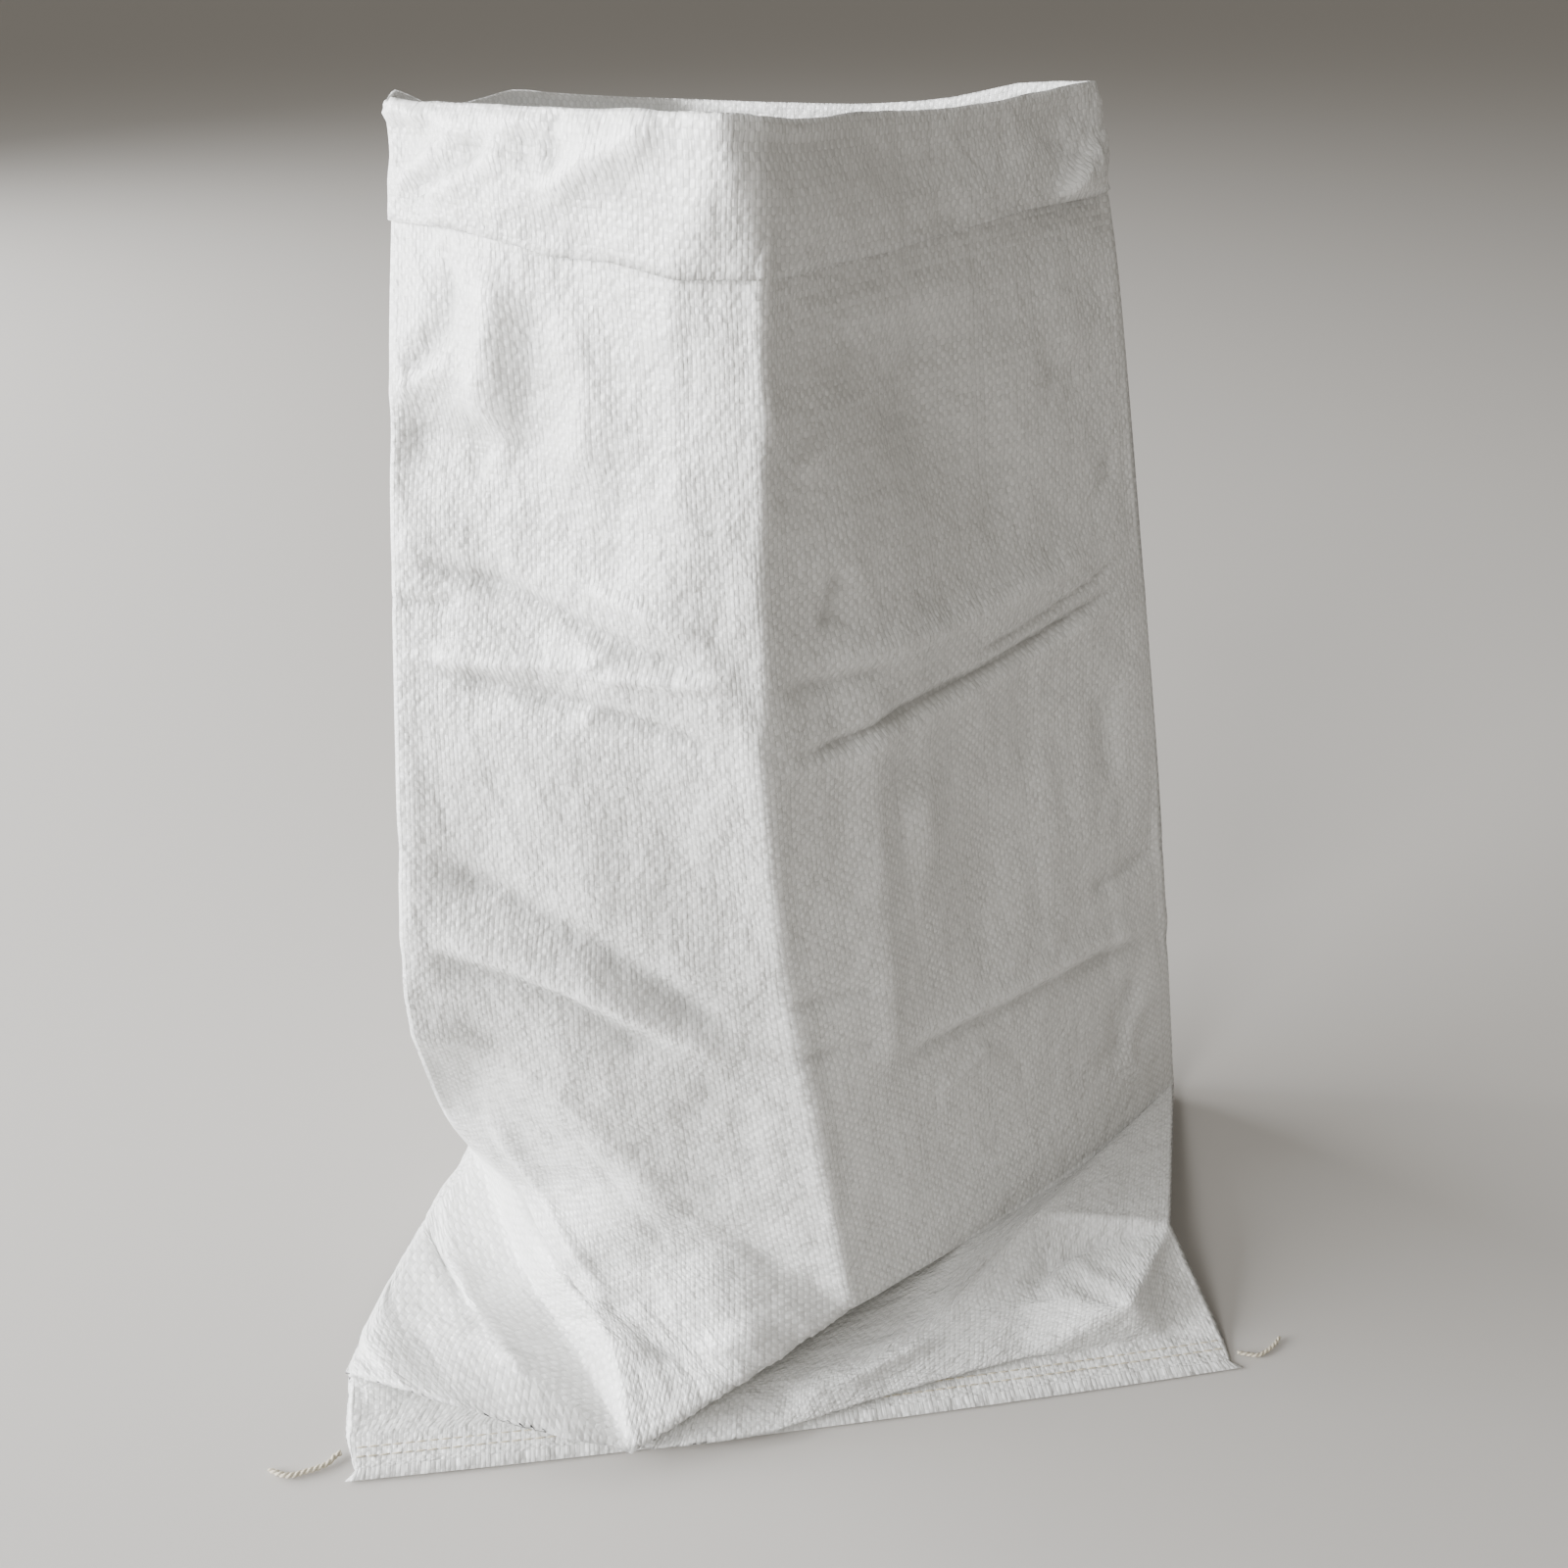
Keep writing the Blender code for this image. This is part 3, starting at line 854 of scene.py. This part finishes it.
def grid_normals(shape):
    """Unit vectors out of the side of the cloth that is seen: the cuff shows the inner side."""
    normal = unit(np.cross(np.gradient(shape, axis=1), round_tube(shape)))
    normal[:, GRID_DOWN < RIM_DOWN] *= -1
    return normal


# Small creases, dents and swellings, in millimetres: height out of the cloth, width of the slopes or
# of the first and the second side's, how steeply they end, and the line's places as across, down
MARKS = [
    # left face, upper creases
    (-5.4, (5.04, 6.48), 1.4, [(8, 286), (27, 285), (68, 288), (93, 295), (116, 301), (151, 310),
      (184, 315), (210, 319)]),
    (3.9, (4.32, 5.04), 1.4, [(119, 279), (152, 286), (180, 292), (194, 294)]),
    (-2.7, (2.88, 3.6), 1.5, [(1, 305), (31, 304), (43, 297)]),
    (4.9, (5.76, 3.6), 1.3, [(19, 335), (46, 333), (78, 330), (122, 324)]),
    (5.4, (4.32, 3.6), 1.3, [(125, 327), (150, 325), (173, 323), (195, 320), (212, 319)]),
    (3.9, 2.88, 1.4, [(121, 326), (128, 321), (140, 311)]),
    (-5.8, (5.04, 7.2), 1.4, [(29, 341), (77, 343), (119, 345), (154, 350), (182, 354), (212, 360)]),
    (3.2, (2.88, 3.6), 1.5, [(118, 356), (124, 350), (134, 343)]),
    (-7.1, 12.6, 1.8, [(4, 445), (20, 449), (43, 456), (79, 466), (115, 481), (148, 500),
      (179, 529), (201, 545)]),
    (6.4, 10.8, 1.8, [(3, 500), (30, 496), (66, 502), (90, 507), (124, 516), (166, 541), (207, 563)]),
    (-7.1, (10.8, 14.4), 1.8, [(5, 507), (24, 506), (66, 512), (100, 523), (131, 546), (164, 564)]),
    # left face, bright patch and dent under the cuff
    (8.8, (20, 16), 1.8, [(80, 128), (76, 150), (71, 168), (66, 187), (61, 211)]),
    (-3.0, (18, 12.6), 1.8, [(99, 134), (94, 166), (89, 198), (79, 232)]),
    (-4.5, (5.76, 6.48), 1.6, [(43, 129), (44, 148), (41, 161), (27, 173), (8, 190)]),
    (4.5, (4.32, 5.76), 1.5, [(2, 195), (27, 185), (49, 175)]),
    (-5.7, 18, 2.0, [(5, 215), (48, 218), (68, 229)]),
    (3.9, 14.4, 2.0, [(113, 141), (131, 184), (126, 230)]),
    (-2.6, 20, 2.0, [(154, 255), (131, 268), (107, 252), (82, 246)]),
    # cuff, left
    (4.2, (5.04, 5.76), 1.5, [(30, 50), (57, 50), (86, 51), (120, 54)]),
    (6.6, (12.6, 6.3), 1.4, [(191, 60), (175, 51), (154, 44), (133, 34), (112, 26), (103, 26)]),
    (5.5, (5.04, 6.48), 1.3, [(22, 13), (39, 16), (59, 26), (78, 35), (99, 45)]),
    (5.1, (4.32, 5.76), 1.3, [(6, 18), (18, 26), (29, 32), (48, 40)]),
    (2.8, 2.88, 1.5, [(44, 46), (64, 47), (80, 48)]),
    (-4.5, (5.76, 4.32), 1.5, [(12, 15), (38, 25), (61, 35), (78, 43)]),
    (-4.5, 5.76, 2.0, [(114, 47), (122, 44), (117, 37)]),
    (-2.8, 2.88, 1.5, [(115, 53), (123, 55), (128, 59)]),
    (5.0, (5.76, 4.32), 1.3, [(3, 61), (17, 57), (28, 53), (34, 51)]),
    # cuff, right corner
    (9.0, (3.6, 16.0), 1.3, [(540, 30), (519, 16), (494, 3)]),
    (-4.1, (3.6, 2.88), 1.3, [(531, 22), (520, 15)]),
    (-2.5, 2.88, 1.5, [(491, 37), (505, 33), (521, 34)]),
    (-2.5, 2.88, 1.5, [(496, 27), (508, 28), (522, 25)]),
    (-2.8, 12.6, 2.0, [(300, 49), (349, 39), (401, 39), (443, 26)]),
    (2.8, 18, 2.0, [(256, 33), (310, 25), (373, 24)]),
    # right face
    (-6.2, (4.8, 3.6), 1.6, [(232, 359), (262, 365), (285, 367), (306, 365), (361, 367), (394, 368),
      (448, 365), (497, 359), (538, 352)]),
    (3.0, (3.0, 12.0), 1.5, [(232, 367), (285, 375), (306, 373), (361, 375), (394, 376), (448, 373),
      (538, 362)]),
    (-3.8, 3.2, 1.6, [(380, 355), (420, 354), (449, 352), (497, 345), (538, 334)]),
    (5.6, 10.8, 1.8, [(246, 317), (286, 321), (315, 324), (364, 329), (417, 330), (472, 328),
      (521, 324)]),
    (-3.5, 5.04, 1.5, [(245, 324), (279, 331), (300, 333), (319, 335)]),
    (-5.0, (4, 18), 1.3, [(273, 304), (278, 287), (283, 276), (290, 270)]),
    (3.5, (3.6, 5.76), 1.3, [(264, 216), (275, 212), (287, 207), (299, 201)]),
    (4.3, (12, 18), 1.7, [(304, 309), (301, 387), (297, 447), (287, 532), (275, 623)]),
    (-9.8, 42, 2.0, [(341, 168), (375, 215), (414, 251), (460, 287)]),
    (-4.0, (9, 22), 1.6, [(473, 209), (510, 213)]),
    (-3.5, 3.6, 1.5, [(517, 276), (534, 273)]),
    (-3.1, (2.88, 3.6), 1.5, [(513, 286), (532, 284)]),
    (3.9, 12.6, 2.0, [(295, 147), (344, 150), (431, 153)]),
    (-2.8, 4.32, 1.6, [(224, 515), (256, 523), (287, 534)]),
    (-2.8, 4.32, 1.6, [(219, 553), (256, 564), (285, 574)]),
    (5.3, (10.8, 9), 1.7, [(288, 583), (332, 591), (410, 597), (478, 603), (549, 618)]),
    (-5.8, (8.1, 10.8), 1.5, [(282, 601), (364, 605), (418, 607), (476, 615), (546, 629)]),
    (2.8, (2.88, 3.6), 1.4, [(379, 577), (404, 574), (425, 573), (449, 574)]),
    (-4.5, 7.2, 1.7, [(473, 562), (514, 560), (547, 557)]),
    (3.4, (2.88, 3.6), 1.4, [(317, 643), (329, 635), (351, 629), (371, 625)]),
    (-3.6, (9, 14.4), 1.6, [(520, 640), (500, 671), (490, 712)]),
    (2.5, 5.76, 1.6, [(527, 658), (511, 682), (499, 714), (522, 750)]),
    (4.7, 14.4, 2.0, [(333, 410), (334, 466), (312, 511)]),
    (-2.8, 18, 2.0, [(386, 442), (386, 514), (354, 556)]),
    (2.3, 12.6, 2.0, [(441, 438), (445, 511), (425, 553)]),
    (-3.9, 10.8, 2.0, [(501, 419), (502, 490)]),
    # wide soft corner at the right of the front edge
    (7.0, (62, 90), 1.1, [(306, 300), (302, 387), (297, 447), (290, 532), (280, 623), (270, 690)]),
    # knee facet and lower left
    (4.5, (6.48, 5.04), 1.5, [(34, 643), (39, 691), (49, 735), (59, 761), (71, 775), (84, 799), (91, 828)]),
    (-5.0, 5.04, 1.6, [(25, 760), (42, 791), (63, 803), (79, 839)]),
    (-1.7, 5.76, 1.8, [(68, 600), (95, 658), (113, 706), (145, 747)]),
    (1.7, 5.76, 1.8, [(81, 591), (106, 622), (127, 657)]),
    (2.8, 7.2, 2.0, [(137, 836), (168, 798), (192, 771)]),
    (-2.8, 6.48, 2.0, [(117, 844), (144, 826), (163, 809)]),
    (3.9, 3.6, 1.4, [(5, 859), (15, 861), (30, 884), (54, 902), (70, 915)]),
    (-3.5, 3.6, 1.5, [(4, 872), (19, 886), (38, 893), (60, 907)]),
    (4.5, 2.88, 1.6, [(66, 911), (70, 914)]),
    (-3.4, 2.88, 1.6, [(65, 901), (68, 904)]),
    (3.9, 12.6, 2.0, [(7, 972), (11, 943), (14, 922)]),
    # flap on the floor and right corner
    (2.8, 3.0, 1.4, [(436, 874), (480, 903), (520, 930), (546, 948)]),
    (-3.2, 2.8, 1.5, [(432, 905), (484, 925), (520, 939), (546, 949)]),
    (-1.5, 5.76, 1.8, [(444, 925), (457, 949), (481, 980)]),
    (1.4, 5.76, 1.8, [(457, 926), (471, 949), (492, 975)]),
    (-4.0, 24, 2.0, [(377, 874), (409, 912), (430, 940)]),
    (3.4, 10.8, 2.0, [(293, 981), (326, 962), (360, 951)]),
]


# Share of a mark's line over which it rises from its ends, and the share of its height there
MARK_END = 0.22
END_HEIGHT = 0.15
# How many widths away from its line a mark still counts
MARK_REACH = 3.2


def mark_height(points, mark):
    """How far one mark moves each flat point."""
    height, widths, power, line = mark
    first, second = np.broadcast_to(widths, 2)
    best = np.full(points.shape[:-1], np.inf)
    side, gone_at = np.ones_like(best), np.zeros_like(best)
    gone = 0.0
    for start, along in stretches(line):
        distance, share = beside(points, start, along)
        length = np.linalg.norm(along)
        nearer = distance < best
        best = np.where(nearer, distance, best)
        away = points - start
        side = np.where(nearer, along[0] * away[..., 1] - along[1] * away[..., 0], side)
        gone_at = np.where(nearer, gone + share * length, gone_at)
        gone += length
    width = np.where(side < 0, first, second)
    rise = np.clip(np.minimum(gone_at, gone - gone_at) / (MARK_END * gone), 0, 1)
    rise = END_HEIGHT + (1 - END_HEIGHT) * rise * rise * (3 - 2 * rise)
    return height * rise * np.exp(-(best / width) ** power)


# The creases that the rear panel repeats: where they start down the sack, and how long they are
CREASED_STRETCH = (250, 620)
LONG_CREASE = 80
# How much lower and how high they are there
REAR_DROP = 7
REAR_SHARE = 0.9


def rear_marks():
    """The sack lay folded flat, so its long creases run on over the rear panel, a little lower."""
    marks = []
    for height, widths, power, line in MARKS:
        long = abs(line[-1][0] - line[0][0]) > LONG_CREASE
        if long and CREASED_STRETCH[0] < line[0][1] < CREASED_STRETCH[1]:
            turned = [(ROUND - across, down + REAR_DROP) for across, down in line][::-1]
            marks.append((REAR_SHARE * height, widths, power, turned))
    return marks


def uneven(seed, width, width_down):
    """A field of soft random hills, about 1 high."""
    field = np.random.default_rng(seed).normal(size=(len(AROUND), len(GRID_DOWN), 1))
    cell = np.gradient(GRID_ACROSS)[:-1, None, None] * np.gradient(GRID_DOWN)[None, :, None]
    field = blurred(field / np.sqrt(cell), width, width_down)[..., 0]
    return field / field.std(axis=1, keepdims=True).mean()


def band(values, low, high, fade):
    """1 between low and high and 0 further than the fade outside them."""
    return np.clip(np.minimum(values - (low - fade), (high + fade) - values) / fade, 0, 1)


def relief():
    """How far the marks and the fine unevenness move each grid point out of the cloth."""
    points = flat_points()
    height = np.zeros(points.shape[:-1])
    for mark in MARKS + rear_marks():
        reach = MARK_REACH * np.max(mark[1])
        low, high = np.min(mark[3], axis=0) - reach, np.max(mark[3], axis=0) + reach
        part = grid_block(low, high)
        height[part] += mark_height(points[part], mark)
    across, down = points[..., 0], points[..., 1]
    wall = band(down, 80, 700, 30)
    left = band(across, 8, 222, 8) * wall
    right = band(across, 240, 542, 8) * wall
    rear = band(across, 560, 1090, 10) * wall
    cuff = band(down, 6, 50, 6)
    knee = band(down, 590, 850, 20) * band(across, 40, 215, 16)
    floor_flap = band(down, 860, 985, 20) * band(across, 8, 540, 8)
    hem = band(down, 1036, 1054, 4) * band(across, 8, 542, 8)
    # Height by place, seed of the random draw, and the hills' widths across and down
    hills = [
        (0.30 * right, 1, 7, 34), (0.34 * right, 2, 9, 9), (0.50 * left, 3, 8, 12),
        (0.6 * left + 1.3 * right, 4, 30, 22), (0.20 * right, 5, 4.5, 4.5), (0.75 * cuff, 6, 8, 7),
        (0.60 * cuff, 7, 26, 14), (0.40 * knee, 8, 4.5, 4.5), (0.26 * floor_flap, 9, 8, 7),
        (0.8 * rear, 10, 30, 26), (0.35 * rear, 11, 16, 12), (0.03 * hem, 12, 5, 30),
    ]
    for share, seed, width, width_down in hills:
        height += share * uneven(seed, width, width_down)
    return height


# Blur in millimetres before the directions out of the cloth are read
NORMAL_BLUR = 3.0
SIDE_FOLD_EASE = 8


def cloth_shape(height):
    """The cloth's grid of places: folded, smoothed, with its relief, and resting on the floor."""
    flat_at, real_at, corners, named = facets()
    shape = hang_cuff(smooth_grid(spread_over_grid(flat_at, real_at, corners), named))
    shape += grid_normals(blurred(shape, NORMAL_BLUR)) * height[..., None]
    # The rear layer lies on the floor and the front layer on top of it
    on_top = band(AROUND, SIDE_FOLD_EASE, FLAT_WIDTH - SIDE_FOLD_EASE, SIDE_FOLD_EASE)
    shape[..., 2] = np.maximum(shape[..., 2], (FLOOR_GAP + LAYER_GAP * on_top)[:, None])
    return hem_nose(shape)


# The relief that is finer than this width is painted into the cloth's colour, as shade in valleys and as
# highlight with strain whitening on ridges, and this much depth does so in full
CREASE_WIDTH = 9.0
CREASE_DEPTH = 2.1
# The painted crease shade and highlight are weaker on the face that lies in shade, and left off the hem
SHADED_FACE = (245, 545, 20)
SHADED_LOSS = 0.55
CREASED_DOWN = (0, 1000, 20)


def painted_crease_shading(height):
    """Painted crease shading: from -1, full painted shade, in the deepest valleys to 1, full strain
    whitening and painted highlight, on the sharpest ridges.
    """
    shown = 1 - SHADED_LOSS * band(AROUND, *SHADED_FACE)
    shown = shown[:, None] * band(GRID_DOWN, *CREASED_DOWN)
    sharp = (height - blurred(height[..., None], CREASE_WIDTH)[..., 0]) * shown
    return np.clip(sharp / CREASE_DEPTH, -1, 1)


def build_cloth():
    height = relief()
    shape = cloth_shape(height)
    na, nd = len(AROUND), len(GRID_DOWN)
    faces, flat_map = [], []
    for i in range(na):
        for j in range(nd - 1):
            corners = [(i, j), (i, j + 1), (i + 1, j + 1), (i + 1, j)]
            faces.append([a % na * nd + d for a, d in corners])
            flat_map += [(GRID_ACROSS[a] * MM, GRID_DOWN[d] * MM) for a, d in corners]
    verts = [placed(p) for p in shape.reshape(-1, 3)]
    sack = add_mesh("sack_cloth", verts, faces, CLOTH_MATERIAL)
    layer = sack.data.uv_layers.new(name="flat")
    layer.data.foreach_set("uv", np.array(flat_map).ravel())
    # Painted shade in the creases' valleys and strain whitening with painted highlight on their ridges,
    # kept on the points for the cloth's colour
    crease = sack.data.attributes.new("crease", "FLOAT", "POINT")
    crease.data.foreach_set("value", painted_crease_shading(height).ravel())
    shell = sack.modifiers.new("cloth", "SOLIDIFY")
    shell.thickness = CLOTH * MM
    shell.offset = 0.0
    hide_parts("sack_body")
    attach(sack, "root")
    return sack


sack = build_cloth()


# Hem stitches

# How far each row lies in from the hem's fold
STITCH_ROWS = {"stitch_row_front": 14.0, "stitch_row_back": 20.0}
STITCH_PITCH = 7.0
STITCH_MARGIN = 4.0
STITCH_LENGTH = 6.02
STITCH_HEIGHT = 2.55
STITCH_RISE = 0.25
STITCH_HALF_SIZE = (0.60, 0.42)
STITCH_SECTIONS = 7
STITCH_RING = 8
# Where on half a wave a stitch starts, so that its ends stay blunt
BLUNT_END = 0.12


def stitch_points(x, y):
    """One stitch's spindle, middle at x and y on the hem."""
    points = []
    for section in range(STITCH_SECTIONS):
        t = section / (STITCH_SECTIONS - 1)
        fat = math.sin(math.pi * (BLUNT_END + (1 - 2 * BLUNT_END) * t))
        centre = Vector((x + (t - 0.5) * STITCH_LENGTH, y, STITCH_HEIGHT + STITCH_RISE * fat))
        wide, high = [fat * half for half in STITCH_HALF_SIZE]
        for k in range(STITCH_RING):
            angle = 2 * math.pi * k / STITCH_RING
            points.append(centre + Vector((0, wide * math.cos(angle), high * math.sin(angle))))
    return points


def build_stitches():
    for name, inset in STITCH_ROWS.items():
        verts, faces = [], []
        for s in range(int((FLAT_WIDTH - 2 * STITCH_MARGIN) / STITCH_PITCH)):
            x, y = hem_line(STITCH_MARGIN + STITCH_PITCH * (s + 0.5))
            faces += tube_faces(STITCH_SECTIONS, STITCH_RING, len(verts))
            verts += stitch_points(x, y + inset)
        row = add_mesh(name + "_loops", [placed(v) for v in verts], faces, THREAD_MATERIAL)
        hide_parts(name)
        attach(row, "root")


build_stitches()


# Floor and light


# In metres
FLOOR_REACH = 70.0
FLOOR_DROP = 0.0005
LAMP_AIM = Vector((0, 0, 0.3))
LAMP_DISTANCE = 6.0


def add_stage():
    n = Nodes("floor_paint")
    n.shader.inputs["Base Color"].default_value = (0.50, 0.48, 0.455, 1.0)
    n.shader.inputs["Roughness"].default_value = 0.9
    corners = [(x * FLOOR_REACH, y * FLOOR_REACH, -FLOOR_DROP)
               for x, y in ((-1, -1), (1, -1), (1, 1), (-1, 1))]
    floor = add_mesh("floor", corners, [(0, 1, 2, 3)], n.material, smooth=False)
    return floor


def add_light(name, turn, height, size, power, colour):
    """A square lamp: degrees round from the front towards the left, degrees up, metres, watts."""
    data = bpy.data.lights.new(name, "AREA")
    data.shape = "SQUARE"
    data.size = size
    data.energy = power
    data.color = colour
    turn, height = math.radians(turn), math.radians(height)
    level = math.cos(height)
    towards = Vector((-math.sin(turn) * level, -math.cos(turn) * level, math.sin(height)))
    lamp = bpy.data.objects.new(name, data)
    lamp.location = LAMP_AIM + towards * LAMP_DISTANCE
    lamp.rotation_euler = towards.to_track_quat("Z", "Y").to_euler()
    bpy.context.scene.collection.objects.link(lamp)


def add_world(colour, strength):
    world = bpy.data.worlds.new("studio")
    bpy.context.scene.world = world
    world.use_nodes = True
    world.node_tree.nodes["Background"].inputs[0].default_value = colour
    world.node_tree.nodes["Background"].inputs[1].default_value = strength


floor = add_stage()
add_world((1.0, 0.95, 0.86, 1.0), 0.31)
add_light("side_light", 88, 12, 3.5, 1200.0, (0.97, 0.985, 1.0))
add_light("back_light", 118, 15, 3.2, 520.0, (0.98, 0.99, 1.0))
add_light("high_light", 66, 48, 2.0, 70.0, (0.98, 0.99, 1.0))
add_light("front_light", 46, 34, 1.6, 115.0, (1.0, 0.99, 0.97))
